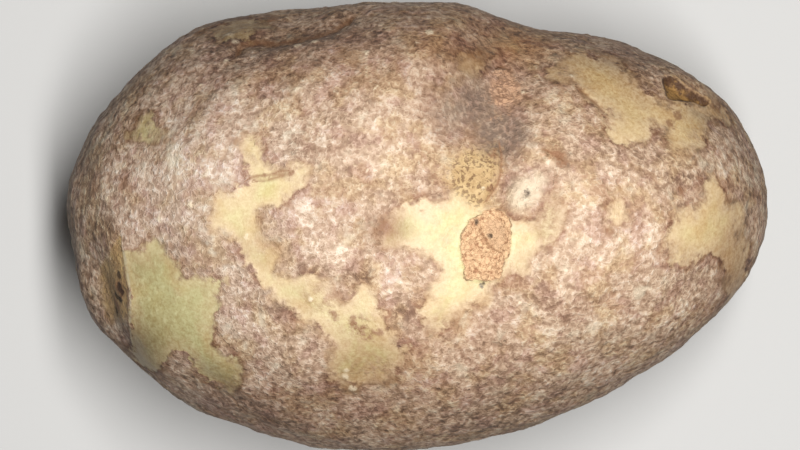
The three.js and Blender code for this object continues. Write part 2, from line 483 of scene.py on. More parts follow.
# x, y and radius of the small dark points, of the soft brown marks and of the pale raised lenticels
darkDots = [(10.75, -1.75, 0.33), (9.6, -9.1, 0.36), (8.7, 0.3, 0.3), (16.4, 4.7, 0.42)]
brownMarks = [
    (-22.2, 31.0, 0.9), (-8.6, -15.6, 0.9), (-7.6, -16.5, 0.7), (-9.8, -14.6, 0.7),
    (-5.9, -16.2, 0.35), (-45.4, -9.6, 1.2), (-45.6, -12.0, 1.0), (-5.0, -0.2, 0.7), (20.8, 7.1, 0.5),
    (10.9, 5.3, 0.5), (2.1, 7.2, 0.4), (39.6, 5.2, 0.5), (29.2, -1.1, 0.6), (11.4, 10.3, 0.7),
    (-13.0, -13.5, 0.6), (-19.3, 7.6, 0.4), (-24.6, 7.0, 0.35), (-23.2, 7.15, 0.4),
    (-21.8, 7.4, 0.35), (19.4, 11.3, 0.6), (20.5, 11.0, 0.6), (21.4, 10.3, 0.75), (21.9, 9.3, 0.9),
    (39.2, 16.2, 0.8), (38.0, 14.9, 0.7),
]
lenticels = [
    (-7.8, 25.6, 0.55), (1.6, 28.6, 0.55), (-11.1, -21.6, 0.5), (-11.0, -22.9, 0.45),
    (-9.9, -24.4, 0.5), (-28.7, 28.0, 0.6), (-27.5, 27.1, 0.6), (-29.1, 24.6, 0.5),
    (-18.3, 26.5, 0.55), (-15.6, 27.1, 0.6), (-11.0, 29.4, 0.6), (-19.9, 30.9, 0.4),
    (-15.3, 30.9, 0.4), (-12.4, 19.6, 0.35), (-17.3, 32.2, 0.45), (-37.6, 25.9, 0.5),
    (39.9, -19.1, 0.55), (46.0, -13.6, 0.55), (49.0, -7.4, 0.5), (50.3, 12.3, 0.6), (32.7, 26.0, 0.5),
    (15.8, 19.7, 0.35), (-33.1, 20.8, 0.4), (23.0, 21.9, 0.35), (-30.6, 19.8, 0.4),
]

# x, y, half-lengths along X and Y, and strength: soft clouds of colour, and the veil of scurf that
# hides parts of the healthy patches
clouds = {
    # a dark grey-brown blotch over the valley above the main eye
    "soot": [
        (8.6, 17.6, 5.0, 5.0, 1.0), (12.6, 13.4, 4.4, 3.6, 1.4), (5.0, 16.6, 4.6, 5.4, 0.72),
        (14.8, 17.0, 2.4, 4.0, 0.5), (10.8, 10.4, 1.2, 1.0, 0.7),
    ],
    "russet": [(13.2, 20.4, 2.8, 3.4, 1.1), (12.8, 22.6, 2.0, 1.6, 0.8), (20.4, 10.4, 2.4, 1.0, 0.7)],
    "dusk": [
        (-8.8, -8.0, 2.0, 1.6, 0.9), (-16.4, -6.7, 2.2, 1.0, 0.7), (-2.4, -13.6, 1.8, 2.6, 0.7),
        (-21.5, -12.6, 3.0, 1.6, 0.7), (-24.0, -12.0, 3.0, 3.0, 0.4), (-18.0, 28.0, 9.0, 1.4, 0.6),
        (-27.4, 25.6, 1.6, 2.4, 0.9), (-22.0, 24.2, 6.0, 2.2, 0.5), (20.0, -11.0, 4.0, 3.0, 0.4),
        (-36.5, -5.0, 2.0, 2.6, 0.2), (40.4, 6.4, 3.2, 2.2, 0.6),
        (33.0, 22.6, 3.0, 2.0, 0.5), (43.6, 6.0, 1.4, 4.0, 0.5), (-46.0, 0.0, 2.0, 3.0, 0.5),
        (47.8, -1.0, 1.0, 6.0, 0.6), (-10.6, 12.1, 1.6, 1.2, 0.4), (-17.4, 11.0, 2.2, 1.4, 0.4),
        (0.0, 6.2, 5.0, 1.2, 0.3), (14.0, 6.0, 0.8, 3.0, 0.6), (30.0, 11.0, 6.0, 2.0, 0.3),
    ],
    "tan": [
        (-8.0, -20.0, 8.0, 5.0, 0.5), (-4.2, -0.6, 3.2, 2.5, 1.0), (19.4, 0.6, 2.6, 4.4, 0.35),
        (-22.8, -3.7, 3.0, 3.0, 0.3), (3.4, -14.6, 3.0, 2.4, 0.25), (-16.0, -10.4, 4.0, 2.4, 0.3),
        (-42.0, -6.0, 3.0, 3.0, 0.3), (-41.0, -17.5, 4.0, 4.0, 0.5), (-13.0, 25.0, 18.0, 6.0, 0.45),
        (20.0, 21.0, 5.0, 4.0, 0.3), (33.0, 21.5, 5.0, 3.0, 0.3), (9.0, 15.0, 7.0, 6.0, 0.35),
        (-8.0, -26.0, 20.0, 4.0, 0.36), (47.4, -6.0, 2.2, 8.0, 0.5), (-30.0, 22.0, 8.0, 5.0, 0.3),
        (-24.0, -27.5, 10.0, 5.0, 0.5), (32.0, 26.0, 5.0, 2.4, 0.6), (8.0, 26.0, 9.0, 4.0, 0.7),
        (-43.0, 4.0, 3.0, 4.0, 0.25), (10.0, -18.0, 7.0, 3.0, 0.35), (3.0, 20.0, 4.0, 5.0, 0.45),
        (-28.0, 29.4, 6.0, 2.4, 0.6),
    ],
    "veil": [
        (-8.4, -15.2, 2.2, 1.4, 1.1), (-24.6, 12.4, 3.4, 3.2, 0.8), (-18.2, 7.4, 1.8, 1.8, 0.8),
        (-13.6, -10.6, 3.4, 2.6, 0.8), (19.6, 1.2, 2.6, 4.6, 0.7), (-22.6, -2.6, 2.4, 2.4, 0.5),
        (3.4, -15.4, 3.0, 2.0, 0.7), (-5.0, -22.0, 6.0, 1.8, 0.6), (-26.8, -23.0, 2.4, 2.4, 0.6),
        (-27.0, 29.2, 6.0, 2.0, 0.5), (45.6, 16.0, 3.0, 1.6, 0.7), (21.4, 22.6, 2.4, 1.6, 0.6),
        (39.0, -5.0, 2.4, 1.8, 0.5), (14.0, -7.6, 2.4, 2.0, 0.6), (30.4, 2.0, 1.6, 1.8, 0.6),
        (-41.4, 14.2, 4.0, 3.2, 0.85), (41.4, 12.4, 2.0, 2.4, 0.5),
    ],
    "cool": [(-34.0, 0.0, 20.0, 30.0, 0.9)],
    "stain": [(15.0, 26.8, 6.5, 3.0, 0.8), (4.0, 27.4, 4.0, 3.0, 0.4), (44.0, 20.0, 5.0, 3.0, 0.4)],
    "silver": [
        (-5.0, 14.0, 6.0, 7.0, 0.6), (0.0, 7.6, 3.4, 2.0, 0.5), (24.5, 3.0, 3.0, 6.0, 0.8),
        (26.0, -6.0, 9.0, 4.0, 0.6), (-33.0, -12.0, 2.0, 6.0, 0.2), (-4.0, -7.0, 3.0, 4.0, 1.0),
        (-12.0, 2.0, 5.0, 4.0, 0.6), (22.0, 6.4, 3.0, 2.0, 0.5), (20.1, 9.2, 0.9, 0.8, 1.6),
        (30.0, -3.0, 6.0, 3.0, 0.6), (45.2, 11.4, 2.2, 3.0, 0.6), (-44.8, 0.6, 0.6, 2.4, 2.2),
        (27.0, -19.0, 9.0, 5.0, 0.2), (8.0, -16.0, 6.0, 2.6, 0.1), (14.5, -15.0, 3.0, 2.0, 0.4),
        (-31.0, 7.0, 8.0, 7.0, 0.9), (-26.0, -15.0, 5.0, 6.0, 0.5), (34.0, 4.4, 2.0, 2.4, 0.5),
    ],
}


# the strongest of the clouds, each strength exp(-(dx/a)^2 - (dy/b)^2)
def cloudCover(x, y, name):
    cover = np.zeros(x.shape)
    for atX, atY, alongX, alongY, strength in clouds[name]:
        cover = np.maximum(cover, strength * hump(x - atX, alongX) * hump(y - atY, alongY))
    return cover


# where a point of the tuber stands on the plan: sight + (point - sight) above / (above - height)
def onPlan(points):
    spread = sight["above"] / (sight["above"] - (points[:, 2] - sight["middle"]))
    x = sight["x"] + (points[:, 0] - sight["x"]) * spread
    return x, sight["y"] + (points[:, 1] - sight["y"]) * spread


# the skin of the sides and the underside, where no mark is listed

hiddenSkin = {
    "healthyAbove": 0.62,  # the skin is healthy where the random field is higher than this
    "patchSize": 34,
    "patchSlope": 6.8,  # millimetres of distance to the border for each unit of the field
    "colonies": 90,
    "colonyRadius": (1.6, 4.6),
    "lenticels": 130,
    "lenticelRadius": (0.3, 0.65),
    "green": 0.3,
    "ochre": 0.5,
    "eyes": [
        "eye under the narrow end", "eye under the near flank", "eye under the far flank",
        "eye under the blunt end",
    ],
    "seed": 41,
}

# a hidden eye's groove, its lip and its bud, in millimetres
eyeForm = {
    "reach": 4.2,
    "thickness": 6,
    "grooveAway": 1.6,
    "grooveBend": 9,
    "grooveDepth": 0.7,
    "grooveReach": 0.5,
    "lipAway": 0.9,
    "lipRise": 0.4,
    "lipReach": 0.8,
    "budRise": 0.45,
    "budReach": 0.8,
}


# healthy where a slow random field is high, less the round colonies that eat into it
def hiddenHealthy(place):
    dice = np.random.default_rng(hiddenSkin["seed"])
    field = ripple(place, hiddenSkin["patchSize"], hiddenSkin["seed"]) - hiddenSkin["healthyAbove"]
    picks = dice.integers(0, len(place), hiddenSkin["colonies"])
    radii = dice.uniform(*hiddenSkin["colonyRadius"], hiddenSkin["colonies"])
    eaten = insideSpots(place, place[picks], radii)
    return np.clip(np.minimum(field * hiddenSkin["patchSlope"], -eaten), -far, far)


# a hidden eye in its own axes a and b: a groove along b = grooveAway - a^2 / grooveBend with a
# lip beyond it, and a bud at the middle; gives the rise and the distance across the groove
def hiddenEye(place, name):
    form = eyeForm
    centre, longways, sideways, normal = placedSwelling(name)
    away = place - np.array([0, 0, sight["middle"]]) - centre
    a, b, c = away @ longways, away @ sideways, away @ normal
    near = hump(c, form["thickness"]) * hump(a, form["reach"])
    across = b - form["grooveAway"] + a**2 / form["grooveBend"]
    lip = form["lipRise"] * hump(across - form["lipAway"], form["lipReach"])
    groove = form["grooveDepth"] * hump(across, form["grooveReach"])
    bud = form["budRise"] * hump(np.hypot(a, b), form["budReach"])
    strength = np.clip(near * 1.6 - 0.25, 0.02, 1)
    return near * (lip - groove + bud), np.clip(across / strength, -far, far)


# relief and marks together

# what the skin's own ripples are made of: their size in millimetres, their seed, the number of
# waves, and their rise on healthy skin and what scurf adds to it
skinRipples = {
    "broad": (17, 3, 40, 0.2, 0.0),
    "swells": (7, 4, 40, 0.07, 0.0),
    "lumps": (2.6, 5, 40, 0.015, 0.03),
    "flecks": (1.3, 6, 60, 0.0, 0.022),
}
skinSpan = {
    "upper": (23, 33),  # heights between which the listed marks take over from random ones
    "scurfRise": 0.05,
    "dotDepth": 0.25,
    "lenticelRise": 0.2,
    # the sides are darkened by painted shade between these two leans
    "shadeFrom": 0.2,  # how far a flank leans outwards where it starts to darken
    "shadeTo": 0.9,
    "ends": ((-28, -42), (42, 48)),  # from where to where the flecks come to stand upright
}


# a distance kept on the upper side, and -far on the underside
def onTop(distance, upper):
    return distance * upper - far * (1 - upper)


# the distance to the border of the healthy skin, and the green and ochre shares near each patch
def healthyMarks(place, x, y, upper):
    hidden = hiddenHealthy(place)
    shown = np.full(x.shape, -far)
    green, ochre = np.zeros(x.shape), np.zeros(x.shape)
    for patch in healthyPatches.values():
        distance = insideOf(patch["outline"], x, y)
        near = smoothStep(distance, -2.5, -0.5)
        green = np.maximum(green, patch["green"] * near)
        ochre = np.maximum(ochre, patch["ochre"] * near)
        shown = np.maximum(shown, distance)
    return {
        "healthy": shown * upper + hidden * (1 - upper),
        "green": green * upper + hiddenSkin["green"] * (1 - upper),
        "ochre": ochre * upper + hiddenSkin["ochre"] * (1 - upper),
    }


# the sum of the skin's ripples, each with its rise and its share of scurf, and the scurf's own
def rippledRise(place, healthy):
    scurf = smoothStep(-healthy, -0.3, 0.5)
    rise = skinSpan["scurfRise"] * scurf
    for size, seed, waves, plain, added in skinRipples.values():
        rise = rise + (plain + added * scurf) * ripple(place, size, seed, waves)
    return rise


# the main eye: a corky crust with a rim, and a dish in it with a bud
def mainEyeRise(place, x, y, upper, marks):
    form = mainEye
    crust = marks["crust"] = onTop(insideOf(form["crust"], x, y), upper)
    dish = marks["dish"] = onTop(insideOf(form["dish"], x, y), upper)
    bud = hump(np.hypot(x - form["bud"][0], y - form["bud"][1]), form["budReach"]) * upper
    rise = form["crustRise"] * smoothStep(crust, -0.3, 0.4) + form["rimRise"] * hump(crust - 0.25, 0.35)
    rise += form["wartRise"] * smoothStep(crust, 0, 0.8) * ripple(place, form["wartSize"], 7, 60)
    return rise - form["dishDepth"] * smoothStep(dish, -0.4, 0.8) + form["budRise"] * bud


# grooves with raised banks, -depth exp(-(d/w)^2) + 0.35 depth exp(-((|d| - 2w)/w)^2), and steps;
# the mark is the distance across the nearest one with a dark bottom, partly its own brown and partly
# painted shade
def lineRise(x, y, upper, marks):
    rise = np.zeros(x.shape)
    crease = np.full(x.shape, far)
    for points, depth, width, step, dark in skinLines.values():
        across = acrossLine(points, x, y)
        banks = 0.35 * depth * hump(np.abs(across) - 2 * width, width)
        rise += upper * (banks - depth * hump(across, width))
        raised = smoothStep(across, -0.25, 0.25) * smoothStep(across, 3.0, 0.3)
        rise += upper * step * raised * (np.abs(across) < nearlyFar)
        crease = np.where(dark & (np.abs(across) < np.abs(crease)), across, crease)
    marks["crease"] = np.where(upper > 0.5, crease, far)
    return rise


# the stem-end pocket: the skin falls behind a sharp lip and comes back over a few millimetres
def pocketRise(x, y, upper, marks):
    form = stemPocket
    lip = marks["lip"] = acrossLine(form["lip"][::-1], x, y, fade=5)
    behind = np.where(np.abs(lip) < nearlyFar, lip, 0)
    pocket = smoothStep(behind, -0.1, 0.7) * smoothStep(behind, *form["back"])
    pocket = marks["pocket"] = pocket * smoothStep(y, *form["nearEnd"]) * upper
    return form["lipRise"] * hump(lip + 0.15, 0.35) * upper - form["depth"] * pocket


# the broken skin, a pit with a thin torn rim, and the ring spot, a low swelling in a moat
def pitAndSpotRise(x, y, upper, marks):
    pit = marks["wound"] = onTop(insideOf(wound["outline"], x, y), upper)
    ring = marks["ringSpot"] = onTop(insideOf(ringSpot["outline"], x, y), upper)
    rise = wound["rimRise"] * hump(pit + 0.25, 0.3) - wound["depth"] * smoothStep(pit, -0.1, 0.8)
    rise += ringSpot["rise"] * smoothStep(ring, -0.3, 0.6)
    return rise - ringSpot["moatDepth"] * hump(ring + 0.9, 0.5)


# the eyes that lie out of sight
def hiddenEyesRise(place, marks):
    rise = np.zeros(len(place))
    for name in hiddenSkin["eyes"]:
        eyeRise, across = hiddenEye(place, name)
        rise += eyeRise
        # the hidden eyes' grooves get the same dark bottoms, partly painted shade
        marks["crease"] = np.where(np.abs(across) < np.abs(marks["crease"]), across, marks["crease"])
    return rise


# sunken dots, brown marks, and raised lenticels, which are random ones on the underside
def spotRise(place, upper, marks):
    dots = onTop(insideSpots(place, *spotsOnSkin(darkDots + stemPocket["blackSpots"], place)), upper)
    marks["dots"] = dots
    marks["brown"] = onTop(insideSpots(place, *spotsOnSkin(brownMarks, place)), upper)
    dice = np.random.default_rng(hiddenSkin["seed"] + 1)
    picks = dice.integers(0, len(place), hiddenSkin["lenticels"])
    radii = dice.uniform(*hiddenSkin["lenticelRadius"], hiddenSkin["lenticels"])
    seeded = insideSpots(place, place[picks], radii)
    chosen = onTop(insideSpots(place, *spotsOnSkin(lenticels + stemPocket["paleSpecks"], place)), upper)
    specks = np.where(upper > 0.5, np.maximum(chosen, seeded - 0.25), seeded)
    marks["specks"] = specks
    rise = skinSpan["lenticelRise"] * smoothStep(specks, -0.45, 0.25)
    return rise - skinSpan["dotDepth"] * smoothStep(dots, -0.2, 0.3)


# how far a point leans outwards, from 0 on top to 1 at the widest level and less below it: the share of
# painted shade on the sides
def paintedShadeShare(place):
    normal = outward(place - np.array([0, 0, sight["middle"]]))
    lit = 0.6 + 0.4 * smoothStep(normal[:, 2], -0.7, 0.2)
    lean = np.hypot(0.85 * normal[:, 0], normal[:, 1])
    return smoothStep(lean, skinSpan["shadeFrom"], skinSpan["shadeTo"]) * lit


# takes the points of the plain body and gives the rise of the skin at each, in millimetres,
# and a dictionary of what its colours are painted from
def skinRelief(place):
    x, y = onPlan(place)
    upper = smoothStep(place[:, 2], *skinSpan["upper"])
    marks = healthyMarks(place, x, y, upper)
    rise = rippledRise(place, marks["healthy"])
    rise += mainEyeRise(place, x, y, upper, marks)
    rise += lineRise(x, y, upper, marks)
    rise += pocketRise(x, y, upper, marks)
    rise += pitAndSpotRise(x, y, upper, marks)
    rise += hiddenEyesRise(place, marks)
    rise += spotRise(place, upper, marks)
    # where painted shade darkens the sides
    marks["flank"] = paintedShadeShare(place)
    marks["pepper"] = onTop(insideOf(pepperSkin, x, y), upper)
    for name in clouds:
        marks[name] = cloudCover(x, y, name) * upper
    marks["upright"] = np.maximum(*(smoothStep(x, *ends) for ends in skinSpan["ends"]))
    return rise, marks


# centres and radii of spots set out on the plan: each centre has the height of the nearest upper
# point, and x = sight + (plan x - sight) (above - (height - middle)) / above, and so for y
def spotsOnSkin(spots, place):
    x, y = onPlan(place)
    buried = np.where(place[:, 2] < sight["middle"], 1000, 0)
    centres = []
    for spotX, spotY, _ in spots:
        height = place[np.argmin(np.hypot(x - spotX, y - spotY) + buried), 2]
        share = (sight["above"] - (height - sight["middle"])) / sight["above"]
        centreX = sight["x"] + (spotX - sight["x"]) * share
        centreY = sight["y"] + (spotY - sight["y"]) * share
        centres.append((centreX, centreY, height))
    return centres, [spot[2] for spot in spots]


# the plain body, then the same body with the skin's relief on it, as one mesh
def makePotato():
    direction, quads, charts = blownUpBox(tuber["cells"])
    turn = np.arctan2(direction[:, 1], direction[:, 0])
    body = bodyPoints(turn, direction[:, 2])
    body = body + outward(body) * swellingRise(body)[:, None]
    plain = fitted(body)
    print("tuber form worked out:", len(plain), "points")
    rise, marks = skinRelief(plain)
    skin = restedFlat(fitted(body + outward(body) * rise[:, None]))
    skin[:, :2] += (boxLow[:2] + boxHigh[:2]) / 2
    print("skin relief from", round(rise.min(), 2), "to", round(rise.max(), 2), "mm")
    mesh = bpy.data.meshes.new("potato_skin")
    mesh.from_pydata((skin * mm).tolist(), [], quads.tolist())
    mesh.uv_layers.new(name="OFBake").data.foreach_set("uv", charts.astype(np.float32).ravel())
    for name, values in marks.items():
        mesh.attributes.new(name, "FLOAT", "POINT").data.foreach_set("value", values.astype(np.float32))
    mesh.polygons.foreach_set("use_smooth", np.ones(len(quads), bool))
    mesh.update()
    piece = bpy.data.objects.new("potato_skin", mesh)
    bpy.context.scene.collection.objects.link(piece)
    return piece


# materials

# sRGB out of 255 to linear light: c / 12.92, or ((c + 0.055) / 1.055)^2.4 past 0.04045
def linear(*parts):
    shares = [part / 255 for part in parts]
    return [c / 12.92 if c <= 0.04045 else ((c + 0.055) / 1.055) ** 2.4 for c in shares]


# a socket's value, to be used in sums
class Value:
    def __init__(self, paint, socket):
        self.paint, self.socket = paint, socket

    def math(self, operation, *others):
        sockets = dict(enumerate([self, *others]))
        return self.paint.add("ShaderNodeMath", {"operation": operation}, sockets)

    def __add__(self, other):
        return self.math("ADD", other)

    def __radd__(self, other):
        return self.math("ADD", other)

    def __sub__(self, other):
        return self.math("SUBTRACT", other)

    def __rsub__(self, other):
        return (self * -1).math("ADD", other)

    def __mul__(self, other):
        return self.math("MULTIPLY", other)

    def __rmul__(self, other):
        return self.math("MULTIPLY", other)

    def __truediv__(self, other):
        return self.math("DIVIDE", other)

    def __abs__(self):
        return self.math("ABSOLUTE")

    def orMore(self, other):
        return self.math("MAXIMUM", other)

    # 0 at low, 1 at high, and a smooth s between them; low may be the larger
    def step(self, low, high):
        first, last = (0, 1) if low < high else (1, 0)
        ends = {"From Min": min(low, high), "From Max": max(low, high), "To Min": first, "To Max": last}
        settings = {"interpolation_type": "SMOOTHSTEP"}
        return self.paint.add("ShaderNodeMapRange", settings, {"Value": self, **ends})

    # 1 at 0 and 0 from 1.5 reach on, much like exp(-(value / reach)^2)
    def band(self, reach):
        return abs(self).step(1.5 * reach, 0)


# one material and its nodes
class Paint:
    def __init__(self, name):
        self.material = bpy.data.materials.new(name)
        self.material.use_nodes = True
        self.tree = self.material.node_tree
        self.tree.nodes.clear()

    # any node: its type, its settings, which are set first, a ramp's stops among them, then its
    # sockets' values or links
    def add(self, kind, settings=None, sockets=None, out=0):
        node = self.tree.nodes.new(kind)
        for name, value in (settings or {}).items():
            if name == "stops":
                self.setStops(node.color_ramp.elements, value)
            else:
                setattr(node, name, value)
        for name, value in (sockets or {}).items():
            if isinstance(value, Value):
                self.tree.links.new(value.socket, node.inputs[name])
            else:
                node.inputs[name].default_value = value
        return Value(self, node.outputs[out]) if node.outputs else None

    def setStops(self, marks, stops):
        while len(marks) < len(stops):
            marks.new(0.5)
        for mark, (at, colour) in zip(marks, stops):
            mark.position, mark.color = at, (*colour, 1)

    def attribute(self, name):
        return self.add("ShaderNodeAttribute", {"attribute_name": name}, out="Fac")

    def vectors(self, operation, first, second):
        return self.add("ShaderNodeVectorMath", {"operation": operation}, {0: first, 1: second})

    # noise whose lumps are about size millimetres, from 0 to 1 about 0.5
    def noise(self, place, size, detail=2.0, rough=0.5):
        sockets = {"Vector": place, "Scale": 1 / size, "Detail": detail, "Roughness": rough}
        return self.add("ShaderNodeTexNoise", {}, sockets)

    # distance to the nearest of scattered points, or to the edge between two of them, in shares of
    # size, the millimetres that they are apart; its other output is a colour for each point
    def cells(self, place, size, feature="F1", out="Distance"):
        sockets = {"Vector": place, "Scale": 1 / size}
        return self.add("ShaderNodeTexVoronoi", {"feature": feature}, sockets, out)

    # first where share is 0 and second where it is 1
    def blend(self, share, first, second, how="MIX"):
        first, second = ((*c, 1) if isinstance(c, (list, tuple)) else c for c in (first, second))
        settings = {"data_type": "RGBA", "blend_type": how}
        return self.add("ShaderNodeMix", settings, {0: share, 6: first, 7: second}, out=2)

    # the colour, multiplied by the named tint where share is 1
    def tinted(self, share, colour, name):
        return self.blend(share, colour, skinTint(name), "MULTIPLY")

    # a colour by tone, through the given (tone, colour) stops
    def ramp(self, tone, stops):
        return self.add("ShaderNodeValToRGB", {"stops": stops}, {0: tone})

    def finish(self, shader):
        self.add("ShaderNodeOutputMaterial", {}, {"Surface": shader})
        return self.material


# the colours are given as they look in full light, which is this many times the skin's own
# share of light
skinColours = {
    "fullLight": 1.54,
    "healthy": (227, 218, 162),
    "healthyDeep": (226, 204, 160),
    "healthyRim": (232, 205, 167),
    "greenTint": (205, 199, 148),
    "greenFleck": (226, 220, 172),
    "greenDeep": (184, 168, 118),
    "ochreTint": (242, 212, 160),
    "scurfTones": [
        (0.22, (112, 86, 66)), (0.37, (167, 135, 108)), (0.50, (212, 181, 152)), (0.62, (235, 210, 183)),
        (0.80, (251, 238, 218)),
    ],
    "scurfCream": (247, 237, 208),
    "crust": (232, 190, 145),
    "crustDeep": (182, 132, 94),
    "crustDot": (136, 86, 54),
    "rimLine": (136, 102, 74),
    "dish": (216, 176, 136),
    "pepper": (200, 165, 114),
    "pepperPale": (224, 192, 138),
    "pepperDot": (100, 60, 26),
    # the dark grey-brown of the blotch in the valley above the main eye
    "soot": (126, 104, 88),
    "russet": (224, 176, 138),
    "russetNet": (134, 92, 66),
    "dusk": (132, 100, 80),
    "ringSpot": (232, 214, 184),
    # the pocket's olive-brown: partly its own colour, partly painted shade in the recess
    "pocket": (200, 168, 114),
    "pocketDeep": (154, 120, 78),
    # painted highlight: the pale line along the pocket's lip
    "lip": (214, 200, 170),
    "wound": (182, 138, 76),
    "woundDeep": (98, 64, 34),
    "woundRim": (222, 186, 136),
    # the brown at the bottom of grooves: partly their own colour, partly painted shade
    "crease": (144, 98, 62),
    "brown": (146, 102, 70),
    "dot": (48, 28, 18),
    "speck": (250, 232, 200),
}
skinTints = {
    "mauve": (240, 231, 235),
    "olive": (243, 238, 222),
    "nearMargin": (224, 208, 196),
    # painted shade: a darker margin tint for the flanks
    "shadedMargin": (200, 183, 165),
    "tan": (190, 161, 148),
    "cool": (250, 258, 270),
    "stain": (236, 210, 164),
    "betweenColonies": (214, 198, 190),
    "brownLine": (186, 156, 124),
    "healthyCloud": (240, 228, 206),
    "healthyGrain": (212, 196, 172),
    "ringEdge": (232, 220, 224),
    # painted shade: the tint that darkens the sides
    "flank": (110, 94, 76),
}


# a colour of the skin itself, and a tint that other colours are multiplied by
def skinTone(name):
    return [c / skinColours["fullLight"] for c in linear(*skinColours[name])]


def skinTint(name):
    return linear(*skinTints[name])


# sizes of the skin's grain in millimetres, and how its noises are placed
skinGrain = {
    "bendScale": 1.1,
    "bendReach": 0.6,
    "fine": 0.74,
    "drawnOut": (1.2, 0.6, 0.8),  # how the fine lumps are squeezed at the two ends
    "medium": 1.5,
    "cloud": 6,
    "hue": 3.6,
    "hueStart": (31.0, 7.0, 3.0),
    "warmth": 5.0,
    "warmthStart": (5.0, 47.0, 9.0),
    "crinkle": 1.1,
    "pebble": 0.95,
    "pit": 2.1,
    "border": 3.6,
    "grain": 0.38,
    "dotCell": 0.6,
    "speckle": 0.6,
    "netting": 1.0,
    "wrinkle": 0.8,
    "colony": 7.0,
    "colonyWave": 3.0,
}

# how far the noises push the border of the healthy skin, in millimetres
borderReach = {"border": 4.4, "medium": 2.2, "fine": 1.2}

# the scurf's tone: its middle, what each noise adds, and what the flank adds to that
scurfLook = {
    "middle": 0.51,
    "fine": 0.8,
    "crinkle": 0.1,
    "pebble": 0.3,
    "pit": 0.06,
    "strength": 0.68,
    "strengthOnFlank": 0.3,
    "medium": 0.2,
    "mediumOnFlank": 0.14,
    "cloud": 0.46,
    "darkest": 0.47,  # below this the tone is lifted where the skin faces up
    "lift": 0.45,
    "topCrinkle": 0.05,
    "silver": 0.07,
    "dusk": 0.16,
    "cream": 0.35,
    "betweenColonies": 0.6,
    "duskColour": 0.5,
}

# the healthy skin: how strong its flecks, rim, clouds and grain are, and the rim's width in millimetres
healthyLook = {
    "greenFleck": 0.5,
    "greenDeep": 0.5,
    "rimWidth": 3.4,
    "rim": 0.85,
    "cloud": 0.5,
    "grain": 0.4,
}

# how strongly each mark's colour covers the skin
markCover = {
    "pepper": 0.9,
    "pepperDot": 0.7,
    # how strongly the dark grey-brown blotch covers the skin, and its grain
    "soot": 0.52,
    "darkBlotchGrain": 0.4,
    "russet": 0.8,
    "russetNet": 0.75,
    "ringEdge": 0.45,
    "ringSpot": 0.62,
    "ringGrain": 0.18,
    "crustWrinkle": 0.4,
    "crustDeep": 0.7,
    "crustDot": 0.45,
    "dish": 0.7,
    "rimLine": 0.7,
    # how strongly the pocket's colour, partly painted shade, covers the recess
    "pocket": 0.85,
    "pocketDeep": 0.8,
    # how strongly the painted highlight along the lip shows
    "lip": 0.7,
    "woundRim": 0.7,
    # how strongly groove bottoms are painted dark, partly as painted shade
    "crease": 0.62,
    "brown": 0.8,
    "dot": 0.85,
    "speck": 0.7,
    # how strongly painted shade darkens the sides
    "flank": 0.46,
}

# gloss, and the relief too fine for the mesh, its depth in millimetres
skinSurface = {
    "roughness": 0.5,
    "scurfRoughness": 0.22,
    "grainRoughness": 0.1,
    "specular": 0.35,
    "bumpStrength": 1.0,
    "bumpDepth": 0.12,
}

# what the mesh carries for its colours
markNames = (
    "healthy", "green", "ochre", "tan", "veil", "crust", "dish", "crease", "lip", "pocket", "wound",
    "ringSpot", "dots", "specks", "pepper", "soot", "russet", "dusk", "silver", "cool", "stain",
    "flank", "brown", "upright",
)


# the noises that every part of the skin shares, on place in millimetres; those named off are 0
# at their middle, and edge is the distance to the healthy skin's ragged border, positive inside
def skinNoises(paint, place, mark):
    size, n = skinGrain, SimpleNamespace()
    bend = {"Vector": place, "Scale": size["bendScale"], "Detail": 2.0}
    n.bend = paint.add("ShaderNodeTexNoise", {}, bend, out="Color")
    n.bent = paint.vectors("ADD", place, paint.vectors("MULTIPLY", n.bend, (size["bendReach"],) * 3))
    lumps = paint.noise(n.bent, size["fine"], 3, 0.6)
    drawn = paint.noise(paint.vectors("MULTIPLY", n.bent, size["drawnOut"]), size["fine"], 3, 0.6)
    n.fine = lumps + (drawn - lumps) * mark["upright"]
    n.medium = paint.noise(place, size["medium"], 3, 0.6)
    n.cloud = paint.noise(place, size["cloud"], 3, 0.55)
    n.fineOff, n.mediumOff, n.cloudOff = n.fine - 0.5, n.medium - 0.5, n.cloud - 0.5
    n.hue = paint.noise(paint.vectors("ADD", place, size["hueStart"]), size["hue"], 3, 0.6)
    n.warmth = paint.noise(paint.vectors("ADD", place, size["warmthStart"]), size["warmth"], 3, 0.6)
    n.grain = paint.noise(place, size["grain"], 3, 0.6)
    n.grainOff = n.grain - 0.5
    n.crinkle = abs(paint.noise(n.bent, size["crinkle"], 2, 0.55) - 0.5).step(0.08, 0.0)
    n.wrinkle = abs(paint.noise(n.bent, size["wrinkle"], 2, 0.6) - 0.5).step(0.06, 0.0)
    n.pebbles = paint.cells(n.bent, size["pebble"])
    n.pits = (paint.cells(place, size["pit"]) + n.fineOff * 0.3).step(0.2, 0.08)
    n.dotCells = paint.cells(place, size["dotCell"])
    n.dotSize = paint.cells(place, size["dotCell"], out="Color") * 0.5
    border = paint.noise(place, size["border"], 2, 0.5) - 0.5
    n.ragged = border * borderReach["border"] + n.mediumOff * borderReach["medium"]
    n.ragged = n.ragged + n.fineOff * borderReach["fine"]
    n.edge = mark["healthy"] + n.ragged
    return n


